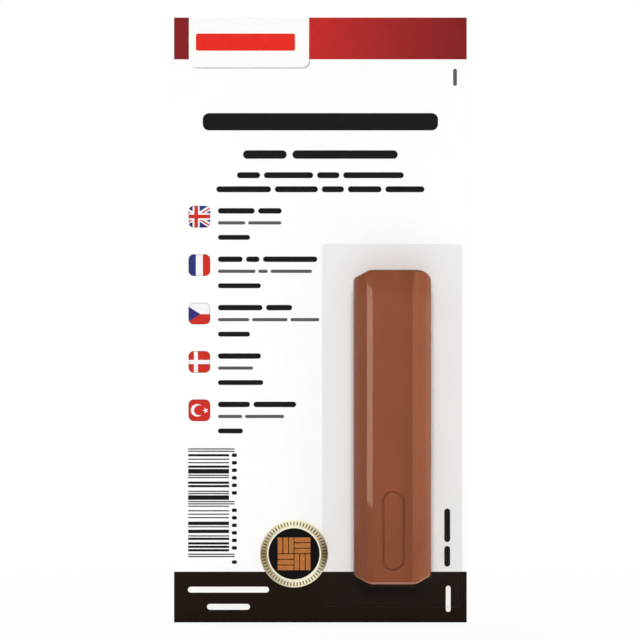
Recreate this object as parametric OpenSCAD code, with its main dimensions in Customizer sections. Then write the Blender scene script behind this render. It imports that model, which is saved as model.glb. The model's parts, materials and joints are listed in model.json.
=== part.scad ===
// Furniture repair wax stick on its display card. A cast wax bar and a flat spatula
// stand in a clear pocket that is sealed to the card and open at its top end.
// Millimetres. X runs across the card, Z up the card, and the front faces -Y.
// The origin is the centre of the card's back.

/* [Card] */
// Width of the card
card_w = 75; // [66:1:100]
// Height of the card
card_h = 155; // [140:1:200]
// Thickness of the board
card_t = 0.5; // [0.3:0.1:1.2]

/* [Wax stick] */
// Length of the stick
stick_l = 80.4; // [60:0.1:95]
// Width of the stick at its base
stick_w = 19.8; // [16:0.1:24]
// Thickness of the stick
stick_t = 9; // [6:0.5:14]
// How far each wall leans in from the base to the shoulder
draft = 0.3; // [0.1:0.05:0.8]
// Width of the steep shoulder along each long side
shoulder_w = 3.2; // [1.5:0.1:4]
// Height of the steep shoulder
shoulder_h = 2.3; // [1:0.1:3]
// Width of the gentle bevel between shoulder and face
crown_w = 1.7; // [0.8:0.1:3]
// Height of the gentle bevel
crown_h = 0.6; // [0.3:0.1:1]
// Length of the slope at the head
head_slope_l = 6; // [2:0.1:8]
// Height of the slope at the head
head_slope_h = 0.2; // [0.1:0.1:2]
// Length of the edge bevel at the foot
foot_bevel_l = 0.5; // [0.4:0.1:2]
// Height of the edge bevel at the foot
foot_bevel_h = 0.5; // [0.3:0.1:2]
// Width of the cut at each corner, across the stick
corner_cut_w = 4.1; // [1:0.1:5]
// Length of the cut at each corner, along the stick
corner_cut_l = 2.2; // [1:0.1:4]

/* [Blank mark in the wax] */
// Length of the sunk outline
mark_l = 20.8; // [10:0.2:30]
// Width of the sunk outline
mark_w = 6.2; // [3:0.1:8]
// Width of the groove that draws it
mark_groove_w = 0.9; // [0.4:0.1:1.4]
// Depth of the groove
mark_depth = 0.35; // [0.1:0.05:0.8]
// Height of the outline's centre above the stick's foot
mark_rise = 14.2; // [12:0.1:30]

/* [Spatula] */
// Length of the spatula
spatula_l = 76; // [50:1:80]
// Width of the blade
blade_w = 16; // [10:0.5:18]
// Width of the handle
handle_w = 12; // [6:0.5:15]
// Thickness of the handle
spatula_t = 1.4; // [0.8:0.1:2.5]
// Thickness of the blade's edge
edge_t = 0.5; // [0.3:0.1:0.7]
// Length of the blade's taper to its edge
taper_l = 12; // [6:0.5:20]
// Length of the straight blade
blade_l = 22; // [10:1:30]
// Length of the shoulder from blade to handle
neck_l = 10; // [4:1:16]
// Number of grip grooves across the handle
groove_count = 5; // [0:1:8]
// Width of one grip groove
groove_w = 1; // [0.4:0.1:1.6]
// Pitch of the grip grooves
groove_pitch = 2.4; // [1.8:0.1:4]
// Depth of one grip groove
groove_depth = 0.3; // [0.1:0.05:0.5]

/* [Clear pocket] */
// Thickness of the clear film
film_t = 0.4; // [0.2:0.05:0.8]
// Width of the sealed flange
flange_w = 35.8; // [28:0.2:40]
// Corner radius of the flange
flange_r = 0.6; // [0.2:0.1:3]
// Gap from the flange to the card's right edge
flange_side_gap = 1.2; // [0:0.1:4]
// Gap from the flange to the card's bottom edge
flange_foot_gap = 4; // [0:0.5:12]
// Height of the flange sealed below the pocket
foot_seal_h = 5.3; // [2:0.1:10]
// Height of the flange sealed above the stick
head_seal_h = 6.5; // [2:0.1:12]
// How far the stick stands out of the pocket's mouth
stick_proud = 6; // [2:0.1:15]
// Gap between the stick or the spatula and what is next to it
fit_gap = 0.3; // [0.2:0.05:0.6]

/* [Foil seal] */
// Diameter of the seal
seal_d = 17.3; // [12:0.1:22]
// Thickness of the seal's field
seal_t = 0.25; // [0.15:0.05:0.5]
// Width of the raised rim
rim_w = 2.1; // [1:0.1:4]
// Height of the rim above the field
rim_h = 0.2; // [0.1:0.05:0.4]
// How far the seal reaches into the flange's edge
seal_bite = 1.4; // [0:0.1:4]
// Distance of the seal's centre from the card's bottom edge
seal_rise = 17.6; // [14:0.1:30]

/* [Hidden] */
$fn = 64;

// Extra length that carries a cut past the face it opens
overrun = 1;

// Depths out of the card's face
spatula_back_d = film_t + fit_gap;
stick_back_d = spatula_back_d + spatula_t + fit_gap;
cavity_d = stick_back_d + stick_t + fit_gap;
pocket_d = cavity_d + film_t;

// Places across the card
flange_right_x = card_w / 2 - flange_side_gap;
flange_left_x = flange_right_x - flange_w;
pocket_x = flange_right_x - flange_w / 2;
cavity_w = max(stick_w, blade_w) + 2 * fit_gap;
pocket_w = cavity_w + 2 * film_t;
seal_x = flange_left_x + seal_bite - seal_d / 2;

// Heights up the card
flange_foot_z = flange_foot_gap - card_h / 2;
pocket_foot_z = flange_foot_z + foot_seal_h;
cavity_foot_z = pocket_foot_z + film_t;
stick_foot_z = cavity_foot_z + fit_gap;
stick_head_z = stick_foot_z + stick_l;
mouth_z = stick_head_z - stick_proud;
flange_head_z = stick_head_z + head_seal_h;
flange_h = flange_head_z - flange_foot_z;
seal_z = seal_rise - card_h / 2;

// The spatula stands where its blade's corners meet the pocket's cut corners
blade_reach = blade_w / 2 + fit_gap + corner_cut_w - cavity_w / 2;
spatula_foot_z = stick_foot_z + max(0, blade_reach) * corner_cut_l / corner_cut_w;

// Lengths of the pocket's two forms, both cut off at the mouth
cavity_l = stick_l + 2 * fit_gap;
pocket_l = cavity_l + 2 * film_t;

// Sets a shape drawn on the card's face, with its depth along +Z, into place
module on_face(x, z, depth) {
    translate([x, -card_t - depth, z])
        rotate([90, 0, 0])
            children();
}

// Rectangle with round corners, its lower edge on y = 0 and centred on x = 0
module soft_rectangle(w, h, r) {
    translate([r - w / 2, 0])
        square([w - 2 * r, h]);
    translate([-w / 2, r])
        square([w, h - 2 * r]);
    for (x = [r - w / 2, w / 2 - r], y = [r, h - r])
        translate([x, y])
            circle(r);
}

// Outline with straight sides and half-round ends, centred, long along y
module stadium(w, l) {
    square([w, l - w], center = true);
    for (y = [w - l, l - w])
        translate([0, y / 2])
            circle(d = w);
}

// Section across a bar w wide and t deep: leaning walls, steep shoulders and gentle crowns
function across_section(w, t) = [
    [0, 0],
    [w, 0],
    [w - draft, t - crown_h - shoulder_h],
    [w - shoulder_w, t - crown_h],
    [w - shoulder_w - crown_w, t],
    [shoulder_w + crown_w, t],
    [shoulder_w, t - crown_h],
    [draft, t - crown_h - shoulder_h]
];

// Section along a bar l long and t deep: an edge bevel at the foot, a slope at the head
function along_section(l, t) = [
    [0, 0],
    [l, 0],
    [l - draft, t - head_slope_h],
    [l - head_slope_l, t],
    [foot_bevel_l + draft, t],
    [draft, t - foot_bevel_h]
];

// Outline of a bar with its four corners cut
function cut_outline(w, l) = [
    [corner_cut_w, 0],
    [w - corner_cut_w, 0],
    [w, corner_cut_l],
    [w, l - corner_cut_l],
    [w - corner_cut_w, l],
    [corner_cut_w, l],
    [0, l - corner_cut_l],
    [0, corner_cut_l]
];

// Bar with the three outlines above: centred on x = 0, its foot on y = 0, its base on z = 0
module cast_bar(w, l, t) {
    translate([-w / 2, 0, 0])
        intersection() {
            translate([0, l, 0])
                rotate([90, 0, 0])
                    linear_extrude(l)
                        polygon(across_section(w, t));
            rotate([90, 0, 90])
                linear_extrude(w)
                    polygon(along_section(l, t));
            linear_extrude(t)
                polygon(cut_outline(w, l));
        }
}

// Keeps what lies between a bar's foot and the height h above it
module up_to(h, w, t) {
    intersection() {
        children();
        translate([-w / 2, 0, 0])
            cube([w, h, t]);
    }
}

module backing_card() {
    color("white")
        translate([-card_w / 2, -card_t, -card_h / 2])
            cube([card_w, card_t, card_h]);
}

// Space inside the pocket
module cavity() {
    cast_bar(cavity_w, cavity_l, cavity_d);
}

module pocket_shell() {
    difference() {
        on_face(pocket_x, pocket_foot_z, 0)
            up_to(mouth_z - pocket_foot_z, pocket_w, pocket_d)
                cast_bar(pocket_w, pocket_l, pocket_d);
        on_face(pocket_x, cavity_foot_z, 0)
            cavity();
    }
}

module pocket_flange() {
    difference() {
        on_face(pocket_x, flange_foot_z, 0)
            linear_extrude(film_t)
                soft_rectangle(flange_w, flange_h, flange_r);
        on_face(pocket_x, cavity_foot_z, 0)
            up_to(mouth_z - cavity_foot_z, cavity_w, cavity_d)
                cavity();
        on_face(seal_x, seal_z, -overrun)
            cylinder(d = seal_d + 2 * fit_gap, h = film_t + 2 * overrun);
    }
}

module clear_pocket() {
    color("aliceblue", 0.35) {
        pocket_shell();
        pocket_flange();
    }
}

module wax_stick() {
    color("sienna")
        difference() {
            on_face(pocket_x, stick_foot_z, stick_back_d)
                cast_bar(stick_w, stick_l, stick_t);
            on_face(pocket_x, stick_foot_z + mark_rise, stick_back_d + stick_t - mark_depth)
                linear_extrude(mark_depth + overrun)
                    difference() {
                        stadium(mark_w, mark_l);
                        stadium(mark_w - 2 * mark_groove_w, mark_l - 2 * mark_groove_w);
                    }
        }
}

// Outline of the spatula: the blade at its foot, the neck, then the round-ended handle
module spatula_outline() {
    handle_end = spatula_l - handle_w / 2;
    polygon([
        [-blade_w / 2, 0],
        [blade_w / 2, 0],
        [blade_w / 2, blade_l],
        [handle_w / 2, blade_l + neck_l],
        [handle_w / 2, handle_end],
        [-handle_w / 2, handle_end],
        [-handle_w / 2, blade_l + neck_l],
        [-blade_w / 2, blade_l]
    ]);
    translate([0, handle_end])
        circle(d = handle_w);
}

// Section along the spatula: the blade tapers to its edge at the foot
module spatula_section() {
    polygon([
        [0, 0],
        [spatula_l, 0],
        [spatula_l, spatula_t],
        [taper_l, spatula_t],
        [0, edge_t]
    ]);
}

module grip_grooves() {
    first_y = spatula_l - handle_w / 2 - groove_w;
    if (groove_count > 0)
        for (i = [0 : groove_count - 1])
            translate([-blade_w / 2, first_y - i * groove_pitch, spatula_t - groove_depth])
                cube([blade_w, groove_w, groove_depth + overrun]);
}

module spatula() {
    color("ivory")
        on_face(pocket_x, spatula_foot_z, spatula_back_d)
            difference() {
                intersection() {
                    linear_extrude(spatula_t)
                        spatula_outline();
                    translate([-blade_w / 2, 0, 0])
                        rotate([90, 0, 90])
                            linear_extrude(blade_w)
                                spatula_section();
                }
                grip_grooves();
            }
}

module foil_seal() {
    rim_t = seal_t + rim_h;
    field_r = seal_d / 2 - rim_w;
    color("goldenrod")
        on_face(seal_x, seal_z, 0)
            rotate_extrude()
                polygon([
                    [0, 0],
                    [seal_d / 2, 0],
                    [seal_d / 2, rim_t],
                    [field_r, rim_t],
                    [field_r, seal_t],
                    [0, seal_t]
                ]);
}

backing_card();
clear_pocket();
wax_stick();
spatula();
foil_seal();
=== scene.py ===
import json
import math
import re

import bmesh
import bpy
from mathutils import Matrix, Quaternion, Vector

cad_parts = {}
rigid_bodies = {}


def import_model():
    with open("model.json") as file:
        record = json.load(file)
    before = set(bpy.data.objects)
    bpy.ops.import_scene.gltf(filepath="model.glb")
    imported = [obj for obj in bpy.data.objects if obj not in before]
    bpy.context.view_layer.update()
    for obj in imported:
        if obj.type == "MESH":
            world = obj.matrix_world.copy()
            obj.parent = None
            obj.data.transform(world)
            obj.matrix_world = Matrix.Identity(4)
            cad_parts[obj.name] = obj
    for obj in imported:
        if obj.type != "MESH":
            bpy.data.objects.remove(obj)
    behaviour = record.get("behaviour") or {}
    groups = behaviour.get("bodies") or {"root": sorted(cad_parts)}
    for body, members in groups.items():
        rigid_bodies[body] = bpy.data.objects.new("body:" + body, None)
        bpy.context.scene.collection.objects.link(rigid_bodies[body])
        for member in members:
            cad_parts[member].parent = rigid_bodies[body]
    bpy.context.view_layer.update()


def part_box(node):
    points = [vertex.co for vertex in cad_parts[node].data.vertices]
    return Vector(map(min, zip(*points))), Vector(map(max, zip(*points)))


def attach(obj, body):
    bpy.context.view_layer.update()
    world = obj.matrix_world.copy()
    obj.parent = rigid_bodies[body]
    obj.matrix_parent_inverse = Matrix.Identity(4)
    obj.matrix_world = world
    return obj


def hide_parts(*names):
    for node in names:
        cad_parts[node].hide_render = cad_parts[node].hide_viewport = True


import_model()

bl_info = {
    "name": "Carded repair wax stick",
    "version": (1, 0, 0),
    "blender": (4, 5, 0),
    "location": "View3D > Sidebar > Wax stick",
    "description": "Models and finishes a repair wax stick in a clear pocket on a display card",
    "category": "Object",
}

MM = 0.001

# Places this close, in metres, count as the same, and corners this close to a cutting plane lie on it
SAME = 1e-6
HAIR = 1e-7

# Corners closer than this are joined: on the film's channel and on the cast bar, where cuts nearly meet,
# on the bar once its edges are round, and where the film's channel meets its flange
SHORT_EDGE = 0.2 * MM
CAST_EDGE = 0.08 * MM
SLIVER = 0.02 * MM
FILM_SEAM = 0.005 * MM

# Steps in which a cut corner turns into the wall beside it, and a long side into its shoulder
EASE_STEPS = 4
SIDE_STEPS = 8

# The bar's front edges are rounded where its facets turn by more than this
FACET_TURN = math.radians(12)

# Depth part of a unit normal or edge: over the first on a flat face, under the second on a wall, and
# over the third on an edge that runs straight in
FLAT_SHARE = 0.9
WALL_SHARE = 0.2
STRAIGHT_SHARE = 0.999

# The seal is gold where the depth part of a normal is under this
RIM_SHARE = 0.5

# The film is rounded where its faces turn by more than this many radians, and its channel is open where
# a normal points back or up by more than this share
BEND_TURN = 0.1
OPEN_SHARE = 0.99

# How deep the film is cut away round the seal, and how far a groove's tool stands out of the spatula
RELIEF_DEPTH = 8 * MM
OVERRUN = 1 * MM

# Turn that stands a flat shape up, so that it faces the card's front
FACING = (math.radians(90), 0, 0)

# Shares of the bar's length and width where its painted shades fade: to each side of the head slope's
# start, at its long edges, and how far left of the flat face's end the painted shade on the flat's right
# part starts, is full and stops
HEAD_FADE = 0.03
LEFT_FADE = (0.02, 0.045)
RIGHT_FADE = (0.962, 0.982)
PAINTED_SHADE_START = 0.2
PAINTED_SHADE_FULL = 0.06
PAINTED_SHADE_STOP = 0.005

PURE_WHITE = (1, 1, 1)

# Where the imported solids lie
CARD_LOW, CARD_HIGH = (Vector(corner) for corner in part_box("backing_card"))
STICK_LOW, STICK_HIGH = (Vector(corner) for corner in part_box("wax_stick"))
POCKET_LOW, POCKET_HIGH = (Vector(corner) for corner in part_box("clear_pocket"))
SPATULA_LOW, SPATULA_HIGH = (Vector(corner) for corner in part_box("spatula"))
SEAL_LOW, SEAL_HIGH = (Vector(corner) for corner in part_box("foil_seal"))
CARD_FACE = CARD_LOW.y
CARD_WIDTH = (CARD_HIGH.x - CARD_LOW.x) / MM

# How far the seal's ticks and planks stand above the rim and the field, and how deep they are rooted
TICK_RISE = 0.02 * MM
TICK_ROOT = 0.05 * MM
PLANK_RISE = 0.06 * MM
PLANK_ROOT = 0.04 * MM

# Heights of the layers of ink above the board, and how deep their plates are rooted in it, in mm
TINT_HEIGHT = 0.015
SHADE_HEIGHT = 0.02
INK_HEIGHT = 0.03
OVERPRINT_HEIGHT = 0.04
TOP_HEIGHT = 0.05
STAR_HEIGHT = 0.055
INK_ROOT = 0.05

# Share by which the press mottle lightens and darkens a pale ink and a flag's ink
PALE_MOTTLE = 0.008
FLAG_MOTTLE = 0.02

# Flat areas of print: left, top, width and height in mm from the card's top left corner
BAND_LEFT = (0.0, 0.0, 3.8, 10.7)
BAND_RIGHT = (34.5, 0.0, 40.5, 10.7)
TAB = (3.8, 0.0, 30.8, 12.8)
TAB_BAR = (5.6, 4.1, 25.4, 4.4)
PANEL = (38.0, 58.2, 35.8, 83.8)
FOOT_BAND = (0.0, 142.0, 75.0, 13.0)

# Shares of the card's width: where the right band has its middle red, and over how much of it the bright
# red fades in under the tab
RED_MID_PLACE = 0.74
RED_FADE = 0.02

# Radius of the corners of flat areas, and how far the tab's shade shows beside it, in mm
TAB_CORNER = 1.8
TAB_BAR_CORNER = 0.5
PANEL_CORNER = 0.3
TAB_SHADE = 0.25

# Shares of a line's height: a bold bar, a light bar and the gap after a bar
BOLD_BAR = 0.54
LIGHT_BAR = 0.4
BAR_GAP = 0.36

# Bars have round ends, unless they are taller than twice this radius in mm. A plate's corner is at most
# this share of its shorter side
BAR_CORNER = 1.6
CORNER_SHARE = 0.49

# Lines set on the card's middle: top, height and the lengths of their bars, in mm
HEAD_LINES = (
    (22.6, 8.2, (60.3,)),
    (33.1, 4.0, (11.2, 27.0)),
    (39.0, 2.8, (5.9, 12.6, 5.7, 15.5)),
    (42.6, 2.8, (14.0, 11.0, 5.7, 8.6, 10.0)),
)

# Groups beside the flags: place, and the drop, height and kind of bar of each line, in mm
GROUP_LEFT = 11.25
GROUP_TOP = 48.25
GROUP_PITCH = 12.4
GROUP_LINES = ((0.0, 2.57, BOLD_BAR), (3.34, 2.05, LIGHT_BAR), (6.93, 2.3, BOLD_BAR))
GROUP_BARS = (
    ((9.4, 6.0), (7.0, 8.5), (8.2,)),
    ((6.3, 3.4, 13.9), (9.6, 2.4, 10.6), (11.0,)),
    ((11.4, 6.7), (8.0, 9.1, 7.4), (8.2,)),
    ((11.0,), (9.0,), (11.6,)),
    ((8.2, 10.9), (6.2, 10.0), (6.4,)),
)

# Lines on the dark foot: left, top, height and bars, in mm
FOOT_LINES = (
    (3.55, 145.2, 2.8, (20.8,)),
    (8.45, 149.6, 2.8, (11.0,)),
)

# Lines that run up the card: left, top, width and bars, in mm
TOP_UPRIGHT = (71.1, 13.1, 1.8, (4.4,))
PANEL_UPRIGHT = (68.6, 125.8, 2.8, (8.6, 5.3))
FOOT_UPRIGHT = (69.1, 145.6, 2.3, (6.7,))

# Flags: place, size, corner and dark edge in mm, the share of its colour that the edge keeps, and the share
# of the edge's width within which a face belongs to it
FLAG_LEFT = 3.7
FLAG_SIZE = 5.57
FLAG_CORNER = 1.35
FLAG_EDGE = 0.2
FLAG_EDGE_SHADE = 0.6
FLAG_EDGE_REACH = 0.8

# The last flag's discs and star: place across and down, and radius, as shares of the flag's size
CRESCENT_OUTER = (0.4, 0.5, 0.288)
CRESCENT_INNER = (0.49, 0.5, 0.234)
CRESCENT_STAR = (0.785, 0.51, 0.14)

# The discs' edge in mm. The star's points and notches together, the share of its radius that a notch
# keeps, and its turn
DISC_EDGE = 0.004
STAR_CORNERS = 10
STAR_NOTCH = 0.4
STAR_TURN = math.radians(18)

# Bar code: place and size in mm, the modules where its longer bars start, the bars at its ends and in its
# middle, a made-up number in two halves, and the bars of the ten digits
CODE_LEFT = 3.6
CODE_TOP = 110.4
CODE_MODULE = 0.2933
CODE_CORNER = 0.04
BAR_LENGTH = 10.5
GUARD_LENGTH = 11.9
GUARD_STARTS = (0, 2, 46, 48, 92, 94)
END_GUARD = "101"
MIDDLE_GUARD = "01010"
CODE_HALVES = ("123456", "789012")
DIGIT_BARS = (
    "0001101", "0011001", "0010011", "0111101", "0100011",
    "0110001", "0101111", "0111011", "0110111", "0001011",
)

# Dots beside the bar code: place and size in mm, and the top and count of each run
DOT_LEFT = 14.8
DOT_WIDTH = 1.3
DOT_LENGTH = 0.9
DOT_CORNER = 0.35
DOT_PITCH = 1.93
DOT_RUNS = ((111.7, 6), (125.8, 6), (139.1, 1))


def screen(red, green, blue):
    """A screen colour, 0 to 255, as the linear colour that Blender's sockets take."""
    def linear(value):
        share = value / 255
        return share / 12.92 if share <= 0.04045 else ((share + 0.055) / 1.055) ** 2.4
    return (linear(red), linear(green), linear(blue))


def length(name, description, size):
    """A length that a user can change, its default in mm."""
    return bpy.props.FloatProperty(
        name=name, description=description, default=size * MM, min=0.0, precision=5, unit="LENGTH")


def colour(name, description, red, green, blue):
    """A colour that a user can change, its default as a screen colour."""
    return bpy.props.FloatVectorProperty(
        name=name, description=description, default=screen(red, green, blue),
        min=0.0, max=1.0, subtype="COLOR")


def amount(name, description, default, high=1.0):
    """A share or strength that a user can change."""
    return bpy.props.FloatProperty(
        name=name, description=description, default=default, min=0.0, max=high, subtype="FACTOR")


def watts(name, description, default):
    """A lamp's power that a user can change, its default in W."""
    return bpy.props.FloatProperty(
        name=name, description=description, default=default, min=0.0, max=200.0, unit="POWER")


class CardSettings(bpy.types.PropertyGroup):
    edge_wear: length("Edge wear", "Softening of the die-cut edge", 0.05)
    coat: colour("Coating", "White clay coating of the printed front", 249, 249, 247)
    core: colour("Core", "Grey pulp that shows on the cut edge", 226, 222, 212)
    back: colour("Back", "Uncoated back of the board", 232, 229, 221)


class PrintSettings(bpy.types.PropertyGroup):
    red_bright: colour("Bright red", "The band beside the tab", 190, 45, 43)
    red_mid: colour("Middle red", "The band halfway to the right edge", 156, 41, 41)
    red_deep: colour("Deep red", "The band at the card's edges", 127, 35, 36)
    tab_red: colour("Tab bar", "The bar on the white tab", 226, 46, 38)
    black: colour("Black", "Bold bars and the bar code", 26, 24, 25)
    grey: colour("Grey", "Light bars", 92, 90, 90)
    umber: colour("Umber", "The dark band at the foot", 29, 20, 14)
    panel: colour("Panel", "The pale panel behind the stick", 239, 236, 234)
    white: colour("White", "The tab, and bars on the dark band", 247, 245, 242)
    shade: colour("Shade", "Line of shade under the tab", 172, 170, 170)
    flag_white: colour("Flag white", "White of the flags", 240, 239, 240)
    flag_blue: colour("Flag blue", "Blue of the flags", 52, 52, 120)
    flag_red: colour("Flag red", "Red of the flags", 201, 50, 40)


class WaxSettings(bpy.types.PropertyGroup):
    draft: length("Draft", "Lean of the walls over their height", 0.3)
    shoulder_w: length("Shoulder width", "Width of the steep shoulders", 3.2)
    shoulder_h: length("Shoulder height", "Height of the steep shoulders", 2.3)
    crown_w: length("Crown width", "Width of the gentle bevels beside the flat face", 1.7)
    crown_h: length("Crown height", "Height of the gentle bevels", 0.6)
    head_slope_l: length("Head slope length", "Length of the slope at the head", 6)
    head_slope_h: length("Head slope height", "Height of the slope at the head", 0.2)
    foot_bevel_l: length("Foot bevel length", "Length of the bevel at the foot", 0.5)
    foot_bevel_h: length("Foot bevel height", "Height of the bevel at the foot", 0.5)
    corner_w: length("Corner width", "Width of the cut corners", 4.1)
    corner_l: length("Corner length", "Length of the cut corners", 2.2)
    softness: length("Edge softness", "Rounding between the front's facets", 0.14)
    side_round: length("Side rounding", "Rounding of the long edges at the sides", 1.4)
    rim_round: length("Rim rounding", "Rounding of the front edges at head, foot and corners", 0.35)
    corner_ease: length("Corner ease", "How far the ends of the cut corners are eased", 0.8)
    blunt_w: length("Blunt width", "Width of the blunt corner's cut, right of the head", 2.4)
    blunt_l: length("Blunt length", "Length of the blunt corner's cut", 1.7)
    blunt_ease: length("Blunt ease", "How far the ends of the blunt corner are eased", 1.4)
    mark_l: length("Mark length", "Length of the sunk mark", 20.8)
    mark_w: length("Mark width", "Width of the sunk mark", 6.2)
    mark_groove: length("Mark groove", "Width of the groove that draws the mark", 1.0)
    mark_depth: length("Mark depth", "Depth of the groove", 0.36)
    mark_rise: length("Mark rise", "Height of the mark's middle above the foot", 14.2)
    brown: colour("Wax brown", "The wax's main colour", 141, 79, 51)
    # Painted shade: shares of the wax's colour kept where it is darkened to stand in for shade
    painted_foot_shade: amount("Foot shade", "Share of its colour kept at the foot", 0.87)
    painted_head_shade: amount("Head shade", "Share of its colour kept on the head's slope", 0.89)
    painted_flat_right_shade: amount("Painted flat shade", "Share of its colour kept on the flat face's right", 0.87)
    painted_edge_shade: amount("Edge shade", "Share of its colour kept at the long sides", 0.72)
    # Painted highlight: a paler wax colour on the foot's round front edge and its cut corners
    painted_foot_highlight: colour("Painted foot highlight", "Painted highlight along the foot's front edge", 156, 114, 93)


class PocketSettings(bpy.types.PropertyGroup):
    film: length("Film", "Thickness of the film", 0.34)
    skin: length("Skin height", "Height of the flange's front above the board", 0.4)
    gap: length("Gap", "Gap between the stick and the film", 0.3)
    wall: length("Wall", "How far the channel's outside lies beyond the gap", 0.4)
    proud: length("Stick proud", "How far the stick stands out of the mouth", 6)
    bend: length("Bend", "Radius of the film's bends", 0.45)
    corner: length("Corner", "Radius of the flange's corners", 0.6)
    tint: colour("Tint", "Colour that one skin of the film lets through", 254.4, 254.7, 254.7)
    cut: colour("Cut edge", "Colour of the film's cut edge", 196, 204, 206)


class SpatulaSettings(bpy.types.PropertyGroup):
    edge_t: length("Edge", "Thickness of the blade's edge", 0.5)
    taper_l: length("Taper", "Length of the blade's taper", 12)
    blade_l: length("Blade", "Length of the straight blade", 22)
    neck_l: length("Neck", "Length of the shoulder from blade to handle", 10)
    handle_w: length("Handle", "Width of the handle", 12)
    groove_w: length("Groove width", "Width of one grip groove", 1)
    groove_pitch: length("Groove pitch", "Pitch of the grip grooves", 2.4)
    groove_depth: length("Groove depth", "Depth of one grip groove", 0.3)
    groove_count: bpy.props.IntProperty(
        name="Grooves", description="Number of grip grooves", default=5, min=1, max=8)
    softness: length("Edge softness", "Rounding of the moulded edges", 0.12)
    ivory: colour("Ivory", "The plastic's colour", 236, 231, 217)


class SealSettings(bpy.types.PropertyGroup):
    rim_w: length("Rim width", "Width of the gold rim", 2.1)
    rim_h: length("Rim height", "Height of the rim above the field", 0.2)
    border_w: length("Border width", "Width of the cream line on the rim's inner edge", 0.36)
    rim_round: length("Rim rounding", "Rounding of the rim's edges", 0.14)
    tick_l: length("Tick length", "Length of the ticks round the rim", 1.0)
    tick_w: length("Tick width", "Width of the ticks round the rim", 0.26)
    tick_count: bpy.props.IntProperty(
        name="Ticks", description="Number of ticks round the rim", default=60, min=8, max=120)
    tick_round: length("Tick rounding", "Radius of the ticks' corners", 0.09)
    tile: length("Tile", "Side of one block of the parquet", 4.3)
    plank_gap: length("Plank gap", "Gap between the parquet's planks", 0.22)
    plank_round: length("Plank rounding", "Radius of the planks' corners", 0.12)
    gold_bright: colour("Bright gold", "Foil where it catches the light", 252, 246, 212)
    gold_dark: colour("Dark gold", "Foil where it turns away", 138, 116, 70)
    cream: colour("Cream", "Line inside the rim", 253, 249, 228)
    field: colour("Field", "Enamel in the middle", 17, 14, 13)
    wood: colour("Wood", "Planks in the middle", 179, 112, 58)
    umber: colour("Umber", "Ticks round the rim", 64, 48, 28)


class StageSettings(bpy.types.PropertyGroup):
    lens: bpy.props.FloatProperty(
        name="Lens", description="Focal length of the camera", default=300, min=50, max=600, unit="CAMERA")
    frame_w: length("Frame width", "Width that the picture shows at the card's front", 164.0)
    aim: length("Aim", "How far left of the card's middle the camera looks", 0.1)
    ambient: amount("Ambient", "Light from all round", 0.3, high=2.0)
    key: watts("Key lamp", "Power of the front lamp", 24.0)
    side: watts("Side lamps", "Power of each lamp beside the card", 12.0)
    rear: watts("Rear lamp", "Power of the lamp behind the card", 22.0)
    stick_right: watts("Stick right lamp", "Power of the stick's own lamp below right", 23.0)
    stick_left: watts("Stick left lamp", "Power of the stick's own left lamp", 6.5)
    stick_rear: watts("Stick rear lamp", "Power of the lamp above and behind the stick", 12.0)
    strip_left: watts("Left strip", "Power of the strip that shines on the left crown", 0.3)
    strip_slant: bpy.props.FloatProperty(
        name="Left strip slant", description="Angle by which the left strip leans",
        default=math.radians(21), min=0.0, max=math.radians(90), subtype="ANGLE")
    strip_right: watts("Right strip", "Power of the strip that shines on the right edge", 0.4)
    strip_faint: watts("Faint strip", "Power of the strip that shines on the right crown", 0.07)
    strip_tone: colour("Strip colour", "Warm light of the strips", 255, 221, 193)
    floor: colour("Floor", "Pale floor", 247, 247, 246)
    shadow_reach: length("Shadow reach", "How far from the card the floor shows its shadow", 350)


SETTINGS = {
    "card_settings": CardSettings,
    "print_settings": PrintSettings,
    "wax_settings": WaxSettings,
    "pocket_settings": PocketSettings,
    "spatula_settings": SpatulaSettings,
    "seal_settings": SealSettings,
    "stage_settings": StageSettings,
}


def begin():
    """Back to object mode with nothing selected, so that operators touch only the next piece."""
    if bpy.context.mode != "OBJECT":
        bpy.ops.object.mode_set(mode="OBJECT")
    bpy.ops.object.select_all(action="DESELECT")


def hold(piece):
    """Selects one piece alone and makes it the active one."""
    begin()
    piece.select_set(True)
    bpy.context.view_layer.objects.active = piece


def edit(piece):
    """Opens one piece in edit mode."""
    hold(piece)
    bpy.ops.object.mode_set(mode="EDIT")


def named(name):
    """Names the new object and puts its place, turn and size into its mesh."""
    piece = bpy.context.object
    piece.name = name
    piece.data.name = name
    bpy.ops.object.transform_apply(location=True, rotation=True, scale=True)
    return piece


def add_box(low, high):
    """Adds a box between two corners, as a new object or to the mesh in edit mode."""
    low = Vector(low)
    high = Vector(high)
    bpy.ops.mesh.primitive_cube_add(size=1, location=(low + high) / 2, scale=high - low)


def new_boxes(name, *boxes):
    """A new piece that starts as boxes, each between two corners, opened in edit mode."""
    begin()
    add_box(*boxes[0])
    piece = named(name)
    edit(piece)
    for box in boxes[1:]:
        add_box(*box)
    return piece


def new_cylinder(name, radius, depth, centre, corners=96, spin=0.0):
    """A new piece that starts as a cylinder whose end faces the front, opened in edit mode."""
    begin()
    bpy.ops.mesh.primitive_cylinder_add(
        vertices=corners, radius=radius, depth=depth, location=centre, rotation=(FACING[0], spin, 0))
    piece = named(name)
    edit(piece)
    return piece


def middle(part):
    """The middle of an edge or a face."""
    return sum((corner.co for corner in part.verts), Vector()) / len(part.verts)


def at(value, *places):
    """True where a number is the same as one of some places."""
    return any(abs(value - place) < SAME for place in places)


def pick(kind, test):
    """Selects the corners, edges or faces of the mesh in edit mode that pass a test."""
    bpy.ops.mesh.select_mode(type=kind)
    bpy.ops.mesh.select_all(action="DESELECT")
    mesh = bmesh.from_edit_mesh(bpy.context.object.data)
    parts = {"VERT": mesh.verts, "EDGE": mesh.edges, "FACE": mesh.faces}[kind]
    for part in parts:
        if test(part):
            part.select_set(True)
    mesh.select_flush_mode()
    bmesh.update_edit_mesh(bpy.context.object.data)


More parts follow.
